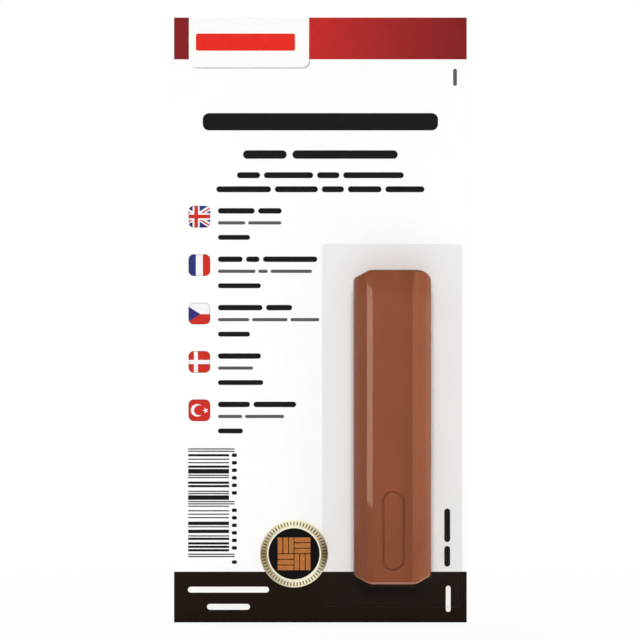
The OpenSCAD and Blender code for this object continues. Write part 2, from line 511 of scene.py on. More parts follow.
def pick_all():
    """Selects the whole mesh in edit mode."""
    bpy.ops.mesh.select_all(action="SELECT")


def face_out():
    """Turns the faces of the mesh in edit mode outwards."""
    pick_all()
    bpy.ops.mesh.normals_make_consistent(inside=False)


def extrude(*move):
    """Draws out what is selected in edit mode."""
    bpy.ops.mesh.extrude_region_move(TRANSFORM_OT_translate={"value": move})


def bevel(test, width, steps, kind="EDGE", clamp=False):
    """Rounds the edges or corners of the mesh in edit mode that pass a test."""
    pick(kind, test)
    affect = {"EDGE": "EDGES", "VERT": "VERTICES"}[kind]
    bpy.ops.mesh.bevel(offset=width, segments=steps, affect=affect, clamp_overlap=clamp)


def runs_in_depth(edge):
    """True for an edge that runs straight in from the card's front."""
    start, end = (corner.co for corner in edge.verts)
    return abs((end - start).normalized().y) > STRAIGHT_SHARE


def round_corners(radius, steps, test=runs_in_depth):
    """Rounds the upright corners of the plates in edit mode."""
    bevel(test, radius, steps, clamp=True)


def round_plate(low, high, radius, test):
    """Rounds the upright corners of one plate in edit mode, at most into half circles."""
    def own_corner(edge):
        spot = middle(edge)
        inside = all(low[axis] - HAIR < spot[axis] < high[axis] + HAIR for axis in (0, 2))
        return inside and test(edge)

    shorter = min(high[0] - low[0], high[2] - low[2])
    round_corners(min(radius, CORNER_SHARE * shorter), steps=5, test=own_corner)


def split(point, normal, **cut):
    """Draws the line where a plane meets the mesh in edit mode, and cuts as asked."""
    pick_all()
    bpy.ops.mesh.bisect(plane_co=point, plane_no=normal, threshold=HAIR, **cut)


def slice_off(point, normal):
    """Cuts off and closes what lies beyond a plane."""
    split(point, normal, use_fill=True, clear_outer=True)


def merge(reach):
    """Joins the corners of the mesh in edit mode that lie within reach of each other."""
    pick_all()
    bpy.ops.mesh.remove_doubles(threshold=reach)


def apply(piece, kind, **values):
    """Adds a modifier to a piece with these values and applies it."""
    hold(piece)
    modifier = piece.modifiers.new(kind.title(), kind)
    for name, value in values.items():
        setattr(modifier, name, value)
    bpy.ops.object.modifier_apply(modifier=modifier.name)


def cut_away(piece, cutter):
    """Takes a cutter out of a piece and deletes the cutter."""
    apply(piece, "BOOLEAN", operation="DIFFERENCE", solver="EXACT", object=cutter)
    hold(cutter)
    bpy.ops.object.delete()


def paint(piece, choose):
    """Gives every face of a piece the finish whose number a test of the face returns."""
    for face in piece.data.polygons:
        face.material_index = choose(face)


def dress(piece, finishes, body, node=None, smooth=30):
    """Gives a piece its finishes and smooth curves, and sets it on its body."""
    hold(piece)
    for finish in finishes:
        piece.data.materials.append(finish.material)
    bpy.ops.object.shade_smooth_by_angle(angle=math.radians(smooth))
    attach(piece, body)
    if node:
        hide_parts(node)


class Finish:
    """A material in the making, with its textures measured in millimetres."""

    def __init__(self, name, roughness=0.5, shine=0.5):
        self.material = bpy.data.materials.new(name)
        self.material.use_nodes = True
        self.tree = self.material.node_tree
        self.shader = self.tree.nodes["Principled BSDF"]
        self.place = self.node("ShaderNodeTexCoord").outputs["Object"]
        self.set("Roughness", roughness)
        self.set("Specular IOR Level", shine)

    def set(self, socket, value):
        """Sets one of the shader's own sockets."""
        self.shader.inputs[socket].default_value = value

    def node(self, kind, values=None):
        """Adds a node with these values on its sockets."""
        node = self.tree.nodes.new(kind)
        for socket, value in (values or {}).items():
            node.inputs[socket].default_value = value
        return node

    def link(self, output, socket):
        """Joins one node's output to another node's socket."""
        self.tree.links.new(output, socket)

    def feed(self, output, socket):
        """Drives one of the shader's sockets."""
        self.link(output, self.shader.inputs[socket])

    def spread(self, scale=(1, 1, 1), move=(0, 0, 0), turn=(0, 0, 0)):
        """Coordinates in mm, stretched, then moved and turned."""
        mapping = self.node("ShaderNodeMapping", {
            "Scale": [share / MM for share in scale], "Location": move, "Rotation": turn})
        self.link(self.place, mapping.inputs["Vector"])
        return mapping.outputs["Vector"]

    def noise(self, size, detail=3.0, rough=0.5, stretch=(1, 1, 1), twist=0.0):
        """Clouds about so many mm across, drawn out along the axes."""
        noise = self.node("ShaderNodeTexNoise", {
            "Scale": 1 / size, "Detail": detail, "Roughness": rough, "Distortion": twist})
        self.link(self.spread([1 / share for share in stretch]), noise.inputs["Vector"])
        return noise.outputs[0]

    def ramp(self, value, stops):
        """Colours along a value, each at its place between 0 and 1."""
        ramp = self.node("ShaderNodeValToRGB")
        elements = ramp.color_ramp.elements
        while len(elements) < len(stops):
            elements.new(0.5)
        for element, (place, shade) in zip(elements, stops):
            element.position = place
            element.color = (*shade, 1)
        self.link(value, ramp.inputs[0])
        return ramp.outputs[0]

    def tones(self, pattern, tone, *stops):
        """Shares of a tone along a pattern, each at its place between 0 and 1."""
        return self.ramp(pattern, [(place, shaded(tone, share)) for place, share in stops])

    def tint(self, pattern, tone, *stops):
        """Colours the surface with shares of a tone along a pattern."""
        self.feed(self.tones(pattern, tone, *stops), "Base Color")

    def gradient(self, place, kind="LINEAR"):
        """A number that grows with the place, along X unless the kind says otherwise."""
        run = self.node("ShaderNodeTexGradient")
        run.gradient_type = kind
        self.link(place, run.inputs["Vector"])
        return run.outputs["Fac"]

    def between(self, value, low, high, start=0.3, stop=0.7):
        """A value as a number from low to high. Clouds run from about 0.3 to 0.7."""
        scale = self.node("ShaderNodeMapRange", {
            "From Min": start, "From Max": stop, "To Min": low, "To Max": high})
        self.link(value, scale.inputs[0])
        return scale.outputs[0]

    def roughen(self, pattern, low, high):
        """Lets the roughness follow a pattern between two limits."""
        self.feed(self.between(pattern, low, high), "Roughness")

    def scaled(self, shade, share):
        """A colour made lighter or darker by a number that changes over the surface."""
        product = self.node("ShaderNodeVectorMath")
        product.operation = "SCALE"
        self.link(shade, product.inputs[0])
        self.link(share, product.inputs["Scale"])
        return product.outputs[0]

    def relief(self, value, depth, shader=None):
        """Raises the surface by a pattern so many mm high."""
        bump = self.node("ShaderNodeBump", {"Strength": 1.0, "Distance": depth * MM})
        self.link(value, bump.inputs["Height"])
        normal = (shader or self.shader).inputs["Normal"]
        if normal.is_linked:
            self.link(normal.links[0].from_socket, bump.inputs["Normal"])
        self.link(bump.outputs[0], normal)


def blend_to(tree, end, share, first, second):
    """Shows a blend of two shaders at a tree's end, the second by a share."""
    blend = tree.nodes.new("ShaderNodeMixShader")
    for count, output in enumerate((share, first.outputs[0], second.outputs[0])):
        tree.links.new(output, blend.inputs[count])
    tree.links.new(blend.outputs[0], tree.nodes[end].inputs["Surface"])


def shaded(tone, share):
    """A colour made lighter or darker by a share."""
    return tuple(min(1.0, value * share) for value in tone)


def coated_board(card):
    """Smooth white clay coating over board fibres."""
    finish = Finish("coated_board", shine=0.25)
    finish.tint(finish.noise(7, detail=4), card.coat, (0.35, 0.985), (0.65, 1))
    finish.roughen(finish.noise(1.5), 0.38, 0.52)
    finish.relief(finish.noise(0.6, detail=4, rough=0.6, stretch=(1, 1, 2.5)), 0.004)
    return finish


def board_core(card):
    """Layered grey pulp on the cut edge."""
    finish = Finish("board_core", roughness=0.9, shine=0.2)
    layers = finish.noise(0.16, detail=4, rough=0.6, stretch=(14, 1, 14))
    finish.tint(layers, card.core, (0.3, 0.8), (0.5, 1), (0.7, 1.1))
    finish.relief(layers, 0.02)
    return finish


def board_back(card):
    """Uncoated back with pulp flecks."""
    finish = Finish("board_back", roughness=0.85, shine=0.2)
    flecks = finish.noise(0.9, detail=6, rough=0.7, stretch=(1, 1, 2))
    finish.tint(flecks, card.back, (0.28, 0.82), (0.42, 0.97), (0.6, 1))
    finish.relief(finish.noise(0.5, detail=5, rough=0.7), 0.012)
    return finish


def ink(name):
    """The gloss of offset ink, still without a colour."""
    finish = Finish(name, shine=0.05)
    finish.roughen(finish.noise(0.8), 0.36, 0.5)
    return finish


def printed(name, tone, mottle=0.05):
    """Ink of one colour with a faint press mottle."""
    finish = ink(name)
    cloud = finish.noise(1.8, detail=5, rough=0.65)
    finish.tint(cloud, tone, (0.32, 1 - mottle), (0.5, 1), (0.7, 1 + mottle))
    return finish


def graded_red(prints):
    """Red ink that deepens from the tab towards the card's right edge."""
    finish = ink("ink_band_red")
    run = finish.gradient(finish.spread((1 / CARD_WIDTH, 1, 1), (0.5, 0, 0)))
    tab_end = BAND_RIGHT[0] / CARD_WIDTH
    grade = finish.ramp(run, (
        (0.0, shaded(prints.red_deep, 1.05)), (tab_end - RED_FADE, shaded(prints.red_deep, 1.15)),
        (tab_end, prints.red_bright), (RED_MID_PLACE, prints.red_mid), (1.0, prints.red_deep)))
    mottle = finish.between(finish.noise(1.6, detail=5, rough=0.65), 0.94, 1.05)
    finish.feed(finish.scaled(grade, mottle), "Base Color")
    return finish


def satin_wax(name, tone, wax):
    """Cast wax: soft clouds, painted shade along and across the bar, a fine skin with a few pits, and a
    faint sheen.
    """
    finish = Finish(name, shine=0.06)
    finish.set("Coat Weight", 0.14)
    finish.set("Coat Roughness", 0.025)
    cloud = finish.noise(9, detail=5, rough=0.6, stretch=(1, 1, 2.2), twist=0.4)
    clouds = finish.tones(cloud, tone, (0.3, 0.92), (0.5, 1), (0.72, 1.08))
    # Painted shade along the bar: darker towards the foot and on the head's slope
    length_mm = (STICK_HIGH.z - STICK_LOW.z) / MM
    upwards = finish.gradient(finish.spread(
        (1, 1, 1 / length_mm), (-STICK_LOW.z / MM / length_mm, 0, 0), (0, math.radians(90), 0)))
    slope = 1 - wax.head_slope_l / MM / length_mm
    along = finish.tones(
        upwards, PURE_WHITE,
        (0.0, wax.painted_foot_shade), (slope - HEAD_FADE, 1), (slope + HEAD_FADE, wax.painted_head_shade))
    # Painted shade across the bar: darker at both long sides and on the flat face's right part
    width_mm = (STICK_HIGH.x - STICK_LOW.x) / MM
    rightwards = finish.gradient(finish.spread(
        (1 / width_mm, 1, 1), (-STICK_LOW.x / MM / width_mm, 0, 0)))
    flat_end = 1 - (wax.shoulder_w + wax.crown_w) / MM / width_mm
    painted_side_shade = finish.tones(
        rightwards, PURE_WHITE,
        (LEFT_FADE[0], wax.painted_edge_shade), (LEFT_FADE[1], 1),
        (flat_end - PAINTED_SHADE_START, 1), (flat_end - PAINTED_SHADE_FULL, wax.painted_flat_right_shade),
        (flat_end - PAINTED_SHADE_STOP, wax.painted_flat_right_shade), (flat_end + PAINTED_SHADE_STOP, 1),
        (RIGHT_FADE[0], 1), (RIGHT_FADE[1], wax.painted_edge_shade))
    finish.feed(finish.scaled(finish.scaled(clouds, along), painted_side_shade), "Base Color")
    finish.roughen(finish.noise(2.2, detail=4), 0.42, 0.58)
    finish.relief(finish.noise(6, detail=2), 0.003)
    finish.relief(finish.noise(0.45, detail=4, rough=0.6), 0.003)
    finish.relief(finish.tones(finish.noise(1.3, detail=1), PURE_WHITE, (0.2, 0), (0.26, 1)), 0.06)
    return finish


def clear_film(pocket):
    """Clear film that shows mostly what is behind it, and a little shine."""
    finish = Finish("clear_film")
    waves = finish.noise(5, detail=2, rough=0.4, stretch=(1, 1, 1.8))
    glaze = finish.node("ShaderNodeBsdfAnisotropic", {"Roughness": 0.06})
    finish.relief(waves, 0.012, glaze)
    through = finish.node("ShaderNodeBsdfTransparent")
    finish.link(finish.tones(waves, pocket.tint, (0.3, 0.996), (0.7, 1)), through.inputs["Color"])
    facing = finish.node("ShaderNodeLayerWeight", {"Blend": 0.5})
    rise = finish.node("ShaderNodeMath", {1: 3.0})
    rise.operation = "POWER"
    finish.link(facing.outputs["Facing"], rise.inputs[0])
    share = finish.between(rise.outputs[0], 0.002, 0.4, start=0, stop=1)
    blend_to(finish.tree, "Material Output", share, through, glaze)
    finish.tree.nodes.remove(finish.shader)
    return finish


def film_edge(pocket):
    """The film's cut edge, which is frosted."""
    finish = Finish("film_edge", shine=0.4)
    finish.set("Alpha", 0.5)
    frost = finish.noise(0.5, detail=4, rough=0.6)
    finish.tint(frost, pocket.cut, (0.3, 0.9), (0.7, 1))
    finish.roughen(frost, 0.25, 0.45)
    return finish


def moulded_ivory(spatula):
    """Ivory plastic with a fine spark-eroded skin."""
    finish = Finish("moulded_ivory", shine=0.4)
    flow = finish.noise(6, stretch=(1, 1, 4), twist=0.6)
    finish.tint(flow, spatula.ivory, (0.3, 0.95), (0.7, 1))
    finish.roughen(finish.noise(0.7), 0.42, 0.6)
    finish.relief(finish.noise(0.16, rough=0.6), 0.006)
    return finish


def painted_sheen_gold(seal, centre, radius):
    """Gold foil with a painted reflection whose brightness swings round the seal, and painted shade at its
    right.
    """
    finish = Finish("painted_sheen_gold")
    finish.set("Metallic", 0.5)
    spot = finish.spread(move=(-centre.x / MM, -centre.z / MM, 0), turn=(math.radians(-90), 0, 0))
    bright = seal.gold_bright
    dark = seal.gold_dark
    half = tuple((a + b) / 2 for a, b in zip(bright, dark))
    # Painted reflection: bright and dark sectors in turn round the ring
    ring = finish.ramp(finish.gradient(spot, "RADIAL"), (
        (0.0, dark), (0.14, half), (0.27, bright), (0.36, bright), (0.5, dark),
        (0.62, half), (0.76, bright), (0.9, half), (1.0, dark)))
    # Painted shade: the gold darkens towards the seal's right edge
    side = finish.node("ShaderNodeSeparateXYZ")
    finish.link(spot, side.inputs[0])
    painted_fall_start = 0.78 * radius / MM
    fall = finish.between(side.outputs["X"], 1.0, 0.3, painted_fall_start, radius / MM)
    finish.feed(finish.scaled(ring, fall), "Base Color")
    finish.roughen(finish.noise(0.5), 0.26, 0.42)
    finish.relief(finish.noise(0.35), 0.004)
    return finish


def enamel(name, tone):
    """Glossy printed enamel with faint clouds."""
    finish = Finish(name, roughness=0.35, shine=0.06)
    finish.tint(finish.noise(1.2, detail=4), tone, (0.35, 0.88), (0.65, 1))
    finish.relief(finish.noise(0.3), 0.003)
    return finish


def wood_grain(name, tone, along):
    """Printed planks with grain along one axis."""
    finish = Finish(name, roughness=0.45, shine=0.08)
    stretch = tuple(6 if axis == along else 1 for axis in range(3))
    grain = finish.noise(0.28, detail=5, rough=0.65, stretch=stretch, twist=0.3)
    finish.tint(grain, tone, (0.3, 0.62), (0.5, 1), (0.7, 1.18))
    return finish


def studio_floor(stage):
    """Pale floor that the camera sees as almost white, with the object's shadow on it."""
    finish = Finish("studio_floor", roughness=0.9, shine=0.1)
    finish.tint(finish.noise(60), stage.floor, (0.35, 0.985), (0.65, 1))
    white = finish.node("ShaderNodeEmission", {"Color": (*PURE_WHITE, 1), "Strength": 1.0})
    shrink = MM / stage.shadow_reach
    near = finish.gradient(finish.spread((shrink, shrink, 0)), "SPHERICAL")
    seen = finish.node("ShaderNodeMath")
    seen.operation = "MULTIPLY"
    finish.link(finish.node("ShaderNodeLightPath").outputs["Is Camera Ray"], seen.inputs[0])
    finish.link(finish.between(near, 1.0, 0.9, start=0, stop=1), seen.inputs[1])
    blend_to(finish.tree, "Material Output", seen.outputs[0], finish.shader, white)
    return finish


def across(place):
    """Metres of a place in mm from the card's left edge."""
    return CARD_LOW.x + place * MM


def down(place):
    """Metres of a place in mm from the card's top edge."""
    return CARD_HIGH.z - place * MM


def plate(left, top, width, height, rise=INK_HEIGHT):
    """The two corners of a plate of ink on the card's front, all in mm."""
    low = (across(left), CARD_FACE - rise * MM, down(top + height))
    high = (across(left + width), CARD_FACE + INK_ROOT * MM, down(top))
    return low, high


def bar_places(start, height, bars):
    """Where each bar of a line starts, and its length, in mm along the line."""
    places = []
    for bar in bars:
        places.append((start, bar))
        start += bar + BAR_GAP * height
    return places


def level_line(left, top, height, bars, share, rise=INK_HEIGHT):
    """Plates of a line of bars that runs across the card."""
    bar_top = top + height * (1 - share) / 2
    places = bar_places(left, height, bars)
    return [plate(start, bar_top, bar, height * share, rise) for start, bar in places]


def upright_line(left, top, width, bars, share, rise=INK_HEIGHT):
    """Plates of a line of bars that runs up the card."""
    bar_left = left + width * (1 - share) / 2
    places = bar_places(top, width, bars)
    return [plate(bar_left, start, width * share, bar, rise) for start, bar in places]


def print_plates(name, plates, finish, corner=0.0, test=runs_in_depth):
    """One piece made of plates of the same ink, with corners of a radius in mm."""
    piece = new_boxes(name, *plates)
    if corner:
        for low, high in plates:
            round_plate(low, high, corner * MM, test)
    dress(piece, [finish], "card")


class WAXCARD_OT_board(bpy.types.Operator):
    """Models the white board of the display card"""
    bl_idname = "wax_card.board"
    bl_label = "Backing board"

    def execute(self, context):
        card = context.scene.card_settings
        board = new_boxes("backing_board", (CARD_LOW, CARD_HIGH))
        bevel(lambda edge: True, card.edge_wear, steps=2)
        finishes = [coated_board(card), board_core(card), board_back(card)]
        dress(board, finishes, "card", "backing_card")
        front, cut, back = range(3)

        def choose(face):
            if abs(face.normal.y) < FLAT_SHARE:
                return cut
            return front if face.normal.y < 0 else back

        paint(board, choose)
        return {"FINISHED"}


class WAXCARD_OT_bands(bpy.types.Operator):
    """Prints the red band with its tab, the pale panel and the dark foot"""
    bl_idname = "wax_card.bands"
    bl_label = "Printed bands"

    def execute(self, context):
        prints = context.scene.print_settings
        left, top, width, height = TAB
        shade = (left + TAB_SHADE, top, width, height + TAB_SHADE)
        white = printed("ink_tab_white", prints.white, PALE_MOTTLE)
        panel = printed("ink_panel", prints.panel, PALE_MOTTLE)

        def low_corner(edge):
            return runs_in_depth(edge) and middle(edge).z < CARD_HIGH.z - height / 2 * MM

        print_plates("red_band", [plate(*BAND_LEFT), plate(*BAND_RIGHT)], graded_red(prints))
        areas = (
            ("tab_shade", shade, SHADE_HEIGHT, printed("ink_shade", prints.shade), TAB_CORNER, low_corner),
            ("white_tab", TAB, OVERPRINT_HEIGHT, white, TAB_CORNER, low_corner),
            ("tab_bar", TAB_BAR, TOP_HEIGHT, printed("ink_tab_red", prints.tab_red), TAB_BAR_CORNER),
            ("pale_panel", PANEL, TINT_HEIGHT, panel, PANEL_CORNER),
            ("foot_band", FOOT_BAND, INK_HEIGHT, printed("ink_umber", prints.umber)),
        )
        for name, area, rise, *rest in areas:
            print_plates(name, [plate(*area, rise)], *rest)
        return {"FINISHED"}


class WAXCARD_OT_lines(bpy.types.Operator):
    """Prints the lines of bold, light and white bars"""
    bl_idname = "wax_card.lines"
    bl_label = "Printed lines"

    def execute(self, context):
        prints = context.scene.print_settings
        bold = []
        light = []
        pale = []
        for top, height, bars in HEAD_LINES:
            run = sum(bars) + BAR_GAP * height * (len(bars) - 1)
            bold += level_line((CARD_WIDTH - run) / 2, top, height, bars, BOLD_BAR)
        for group, lines in enumerate(GROUP_BARS):
            for (drop, height, share), bars in zip(GROUP_LINES, lines):
                top = GROUP_TOP + group * GROUP_PITCH + drop
                plates = bold if share == BOLD_BAR else light
                plates.extend(level_line(GROUP_LEFT, top, height, bars, share))
        light += upright_line(*TOP_UPRIGHT, BOLD_BAR)
        bold += upright_line(*PANEL_UPRIGHT, BOLD_BAR)
        for line in FOOT_LINES:
            pale += level_line(*line, BOLD_BAR, OVERPRINT_HEIGHT)
        pale += upright_line(*FOOT_UPRIGHT, BOLD_BAR, OVERPRINT_HEIGHT)
        print_plates("bold_words", bold, printed("ink_black", prints.black), BAR_CORNER)
        print_plates("light_words", light, printed("ink_grey", prints.grey), BAR_CORNER)
        print_plates("foot_words", pale, printed("ink_white", prints.white, PALE_MOTTLE), BAR_CORNER)
        return {"FINISHED"}


class WAXCARD_OT_bar_code(bpy.types.Operator):
    """Prints a bar code of a made-up number, with runs of dots beside it"""
    bl_idname = "wax_card.bar_code"
    bl_label = "Bar code"

    def execute(self, context):
        black = context.scene.print_settings.black
        left, right = ("".join(DIGIT_BARS[int(digit)] for digit in half) for half in CODE_HALVES)
        right = right.translate(str.maketrans("01", "10"))
        bars = []
        for bar in re.finditer("1+", END_GUARD + left + MIDDLE_GUARD + right + END_GUARD):
            reach = GUARD_LENGTH if bar.start() in GUARD_STARTS else BAR_LENGTH
            top = CODE_TOP + bar.start() * CODE_MODULE
            bars.append(plate(CODE_LEFT, top, reach, len(bar.group()) * CODE_MODULE))
        print_plates("bar_code", bars, printed("ink_code_black", black), CODE_CORNER)
        dots = []
        for top, count in DOT_RUNS:
            for dot in range(count):
                dots.append(plate(DOT_LEFT, top + dot * DOT_PITCH, DOT_WIDTH, DOT_LENGTH))
        print_plates("code_dots", dots, printed("ink_dot_black", black), DOT_CORNER)
        return {"FINISHED"}


class WAXCARD_OT_flags(bpy.types.Operator):
    """Prints the five small flags"""
    bl_idname = "wax_card.flags"
    bl_label = "Flags"

    WHITE, RED, BLUE = range(3)
    EDGE_SHADES = 3

    def execute(self, context):
        prints = context.scene.print_settings
        tones = {"white": prints.flag_white, "red": prints.flag_red, "blue": prints.flag_blue}
        self.inks = []
        for part, share in (("flag", 1), ("edge", FLAG_EDGE_SHADE)):
            for name, tone in tones.items():
                self.inks.append(printed(f"ink_{part}_{name}", shaded(tone, share), FLAG_MOTTLE))
        flags = {
            "flag_crossed": self.crossed, "flag_striped": self.striped, "flag_wedged": self.wedged,
            "flag_barred": self.barred, "flag_crescent": self.plain,
        }
        for number, (name, divide) in enumerate(flags.items()):
            self.top = GROUP_TOP + number * GROUP_PITCH
            piece = self.tile(name)
            self.colour(piece, divide())
        self.disc("crescent_outer", *CRESCENT_OUTER, OVERPRINT_HEIGHT, self.WHITE)
        self.disc("crescent_inner", *CRESCENT_INNER, TOP_HEIGHT, self.RED)
        self.disc("crescent_star", *CRESCENT_STAR, STAR_HEIGHT, self.WHITE, STAR_CORNERS)
        return {"FINISHED"}

    def tile(self, name):
        """A plate with round corners and an edge strip, in the place of one flag."""
        piece = new_boxes(name, plate(FLAG_LEFT, self.top, FLAG_SIZE, FLAG_SIZE))
        round_corners(FLAG_CORNER * MM, steps=6)
        pick("FACE", lambda face: face.normal.y < -FLAT_SHARE)
        bpy.ops.mesh.inset(thickness=FLAG_EDGE * MM)
        return piece

    def spot(self, u, v):
        """The place on the flag at shares u across and v down."""
        return Vector((across(FLAG_LEFT + u * FLAG_SIZE), CARD_FACE, down(self.top + v * FLAG_SIZE)))

    def upright(self, *shares):
        """Splits the tile along upright lines."""
        for u in shares:
            split(self.spot(u, 0), (1, 0, 0))

    def level(self, *shares):
        """Splits the tile along level lines."""
        for v in shares:
            split(self.spot(0, v), (0, 0, 1))

    def slant(self, u, v, slope):
        """Splits the tile along a line through u, v that falls by slope for each step across."""
        split(self.spot(u, v), (slope, 0, 1))

    def colour(self, piece, choose):
        """Gives each part of a tile the ink that its place asks for, darker along the edge."""
        dress(piece, self.inks, "card")
        half = FLAG_SIZE / 2 * MM
        straight = half - FLAG_CORNER * MM
        centre = self.spot(0.5, 0.5)
        edge_depth = FLAG_EDGE_REACH * FLAG_EDGE * MM

        def depth(spot):
            """How far inside the tile's round outline a place lies."""
            away = [abs(spot[axis] - centre[axis]) for axis in (0, 2)]
            if min(away) > straight:
                return FLAG_CORNER * MM - math.hypot(away[0] - straight, away[1] - straight)
            return half - max(away)

        def ink_number(face):
            u = (face.center.x - across(FLAG_LEFT)) / (FLAG_SIZE * MM)
            v = (down(self.top) - face.center.z) / (FLAG_SIZE * MM)
            return choose(u, v) + (self.EDGE_SHADES if depth(face.center) < edge_depth else 0)

        paint(piece, ink_number)

    def crossed(self):
        """Red and white crosses, upright and slanted, on blue."""
        mid_u, mid_v, slope = 0.355, 0.49, 0.64
        red_u, white_u = (0.27, 0.44), (0.19, 0.51)
        red_v, white_v = (0.405, 0.575), (0.335, 0.645)
        red_off, white_off = (-0.02, 0.06), (-0.13, 0.13)
        self.upright(*sorted(red_u + white_u))
        self.level(*sorted(red_v + white_v))
        for fall in (slope, -slope):
            for off in sorted(red_off + white_off):
                self.slant(mid_u, mid_v + off, fall)

        def choose(u, v):
            if red_u[0] < u < red_u[1] or red_v[0] < v < red_v[1]:
                return self.RED
            if white_u[0] < u < white_u[1] or white_v[0] < v < white_v[1]:
                return self.WHITE
            for fall in (slope, -slope):
                off = v - mid_v - fall * (u - mid_u)
                if red_off[0] < off < red_off[1]:
                    return self.RED
                if white_off[0] < off < white_off[1]:
                    return self.WHITE
            return self.BLUE

        return choose

    def striped(self):
        """Blue, white and red side by side."""
        left, right = 0.34, 0.66
        self.upright(left, right)
        return lambda u, v: self.BLUE if u < left else self.WHITE if u < right else self.RED

    def wedged(self):
        """White over red, with a blue wedge from the left."""
        tip_u, tip_v, slope = 0.55, 0.53, 0.63
        self.level(tip_v)
        for fall in (slope, -slope):
            self.slant(tip_u, tip_v, fall)

        def choose(u, v):
            if abs(v - tip_v) < slope * (tip_u - u):
                return self.BLUE
            return self.WHITE if v < tip_v else self.RED

        return choose

    def barred(self):
        """A white cross on red."""
        left, right, high, low = 0.25, 0.43, 0.41, 0.6
        self.upright(left, right)
        self.level(high, low)
        return lambda u, v: self.WHITE if left < u < right or high < v < low else self.RED

    def plain(self):
        """Red all over, under the crescent."""
        return lambda u, v: self.RED

    def disc(self, name, u, v, radius, rise, ink_number, corners=48):
        """A thin disc or star printed on the flag, its radius a share of the flag's size."""
        depth = (rise + INK_ROOT) * MM
        place = self.spot(u, v)
        place.y = CARD_FACE + INK_ROOT * MM - depth / 2
        piece = new_cylinder(name, radius * FLAG_SIZE * MM, depth, place, corners, STAR_TURN)
        step = 2 * math.pi / STAR_CORNERS

        def notch(corner):
            angle = math.atan2(corner.co.z - place.z, corner.co.x - place.x)
            return round((angle - math.pi) / step) % 2 == 1

        def front_edge(edge):
            return all(corner.co.y < CARD_FACE for corner in edge.verts)

        if corners == STAR_CORNERS:
            pick("VERT", notch)
            bpy.ops.transform.resize(value=(STAR_NOTCH, 1, STAR_NOTCH), center_override=place)
        else:
            bevel(front_edge, DISC_EDGE * MM, steps=1)
        dress(piece, [self.inks[ink_number]], "card")


def trim_side(low, high, axis, end, steps):
    """Cuts the facets of one side of a cast bar. A step is how far in from the side, and how far
    behind the front, an edge between two facets lies."""
    side = (high if end > 0 else low)[axis]
    for (in_0, back_0), (in_1, back_1) in zip(steps, steps[1:]):
        point = Vector((0, low.y + back_0, 0))
        point[axis] = side - end * in_0
        normal = Vector((0, in_0 - in_1, 0))
        normal[axis] = end * (back_0 - back_1)
        slice_off(point, normal)


def trim_corner(low, high, x_end, z_end, width, reach, ease=0.0, lean=0.0):
    """Cuts one corner of a cast bar's outline, and eases the cut's two ends into rounds."""
    side = Vector((x_end, 0, 0))
    end = Vector((0, 0, z_end))
    cut = (reach * side + width * end).normalized()
    corner = Vector(((high if x_end > 0 else low).x, high.y, (high if z_end > 0 else low).z))
    tilt = Vector((0, -lean, 0))
    slice_off(corner - width * side, cut + tilt)
    if ease:
        for spot, wall in ((corner - width * side, end), (corner - reach * end, side)):
            radius = ease / math.tan(wall.angle(cut) / 2)
            heart = spot - radius * (wall + cut) / (1 + wall.dot(cut))
            for step in range(1, EASE_STEPS):
                turned = wall.slerp(cut, step / EASE_STEPS)
                slice_off(heart + radius * turned, turned + tilt)


def trim_bar(low, high, wax, ease=0.0):
    """Cuts the long sides and the foot of a cast bar."""
    for end in (-1, 1):
        trim_side(low, high, 0, end, side_steps(low, high, wax, ease))
    trim_side(low, high, 2, -1, foot_steps(low, high, wax))


def side_steps(low, high, wax, ease):
    """The facets of a cast bar's long sides: leaning wall, steep shoulder and gentle crown. The edge
    between wall and shoulder may be eased into a round."""
    base = Vector((0.0, high.y - low.y))
    edge = Vector((wax.draft, wax.crown_h + wax.shoulder_h))
    ridge = Vector((wax.shoulder_w, wax.crown_h))
    start = edge + ease * (base - edge).normalized()
    stop = edge + ease * (ridge - edge).normalized()
    shares = [step / SIDE_STEPS for step in range(SIDE_STEPS + 1)] if ease else [0.0]
    rounded = [start.lerp(edge, share).lerp(edge.lerp(stop, share), share) for share in shares]
    return (base, *rounded, ridge, (wax.shoulder_w + wax.crown_w, 0.0))


def foot_steps(low, high, wax):
    """The facets of a cast bar's foot: leaning wall and edge bevel."""
    return (
        (0.0, high.y - low.y), (wax.draft, wax.foot_bevel_h), (wax.draft + wax.foot_bevel_l, 0.0))


def head_steps(low, high, wax):
    """The facets of a cast bar's head: leaning wall and long slope."""
    return ((0.0, high.y - low.y), (wax.draft, wax.head_slope_h), (wax.head_slope_l, 0.0))


